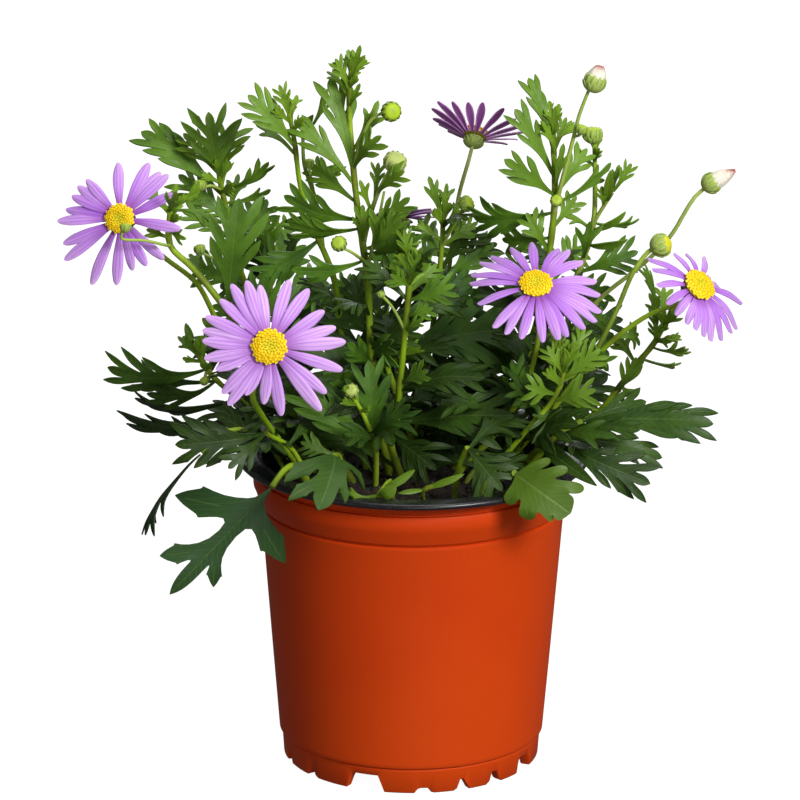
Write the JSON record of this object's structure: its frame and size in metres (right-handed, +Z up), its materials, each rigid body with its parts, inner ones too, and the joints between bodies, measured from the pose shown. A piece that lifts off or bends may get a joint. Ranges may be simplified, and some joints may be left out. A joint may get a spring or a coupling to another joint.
{
  "type": "potted swan river daisy",
  "caption": "Flowering daisy plant with lilac petals, yellow discs and feathery cut leaves, standing in a round plastic nursery pot with feet.",
  "frame": {"origin": "on the surface the pot stands on, under the middle of the whole plant's width and depth", "axes": "+Z up, +X to the right as the plant is seen in the picture, -Y towards the viewer"},
  "size_m": [0.1999, 0.1372, 0.2199],
  "materials": {
    "pot_plastic": "satin orange outside, with a glossy black rolled rim and a black inside",
    "soil": "dark brown crumbly potting soil",
    "foliage": "mid green leaves and yellow-green stems with fine hairs, slightly satin",
    "petal": "soft lilac, paler along the tip and deeper purple at the root, matte",
    "disc": "yellow florets, open round the edge and closed in the middle, matte",
    "bud_tip": "pinkish white petal tips, matte"
  },
  "bodies": {
    "root": {"pot": "pot_plastic", "soil": "soil", "leaf_curled": "foliage", "leaf_drooping_left": "foliage", "leaf_edge_left": "foliage", "leaf_front_left": "foliage", "leaf_over_rim_front": "foliage", "leaf_rim_front_right": "foliage", "leaf_rim_right": "foliage", "leaf_yellow_strap": "foliage", "stalk_back_flower": "foliage", "stalk_centre_flower": "foliage", "stalk_cup_bud": "foliage", "stalk_front_flower": "foliage", "stalk_left_flower": "foliage", "stalk_pink_bud": "foliage", "stalk_right_flower": "foliage", "stalk_top_flower": "foliage", "stem_back_centre": "foliage", "stem_back_left": "foliage", "stem_back_middle": "foliage", "stem_back_right": "foliage", "stem_centre": "foliage", "stem_dark_centre": "foliage", "stem_front_bud": "foliage", "stem_left_fan": "foliage", "stem_left_shoot": "foliage", "stem_light_shoot": "foliage", "stem_low_left": "foliage", "stem_low_right": "foliage", "stem_right_bud": "foliage", "stem_right_shoot": "foliage", "stem_right_tall": "foliage", "stem_tall": "foliage", "stem_upper_left": "foliage", "petals_back": "petal", "petals_centre": "petal", "petals_front": "petal", "petals_left": "petal", "petals_right": "petal", "petals_top": "petal", "disc_back": "disc", "disc_centre": "disc", "disc_front": "disc", "disc_left": "disc", "disc_right": "disc", "disc_top": "disc", "tip_cup_bud": "disc", "tip_pink_bud": "bud_tip", "tip_tall_bud": "bud_tip"}
  },
  "joints": []
}
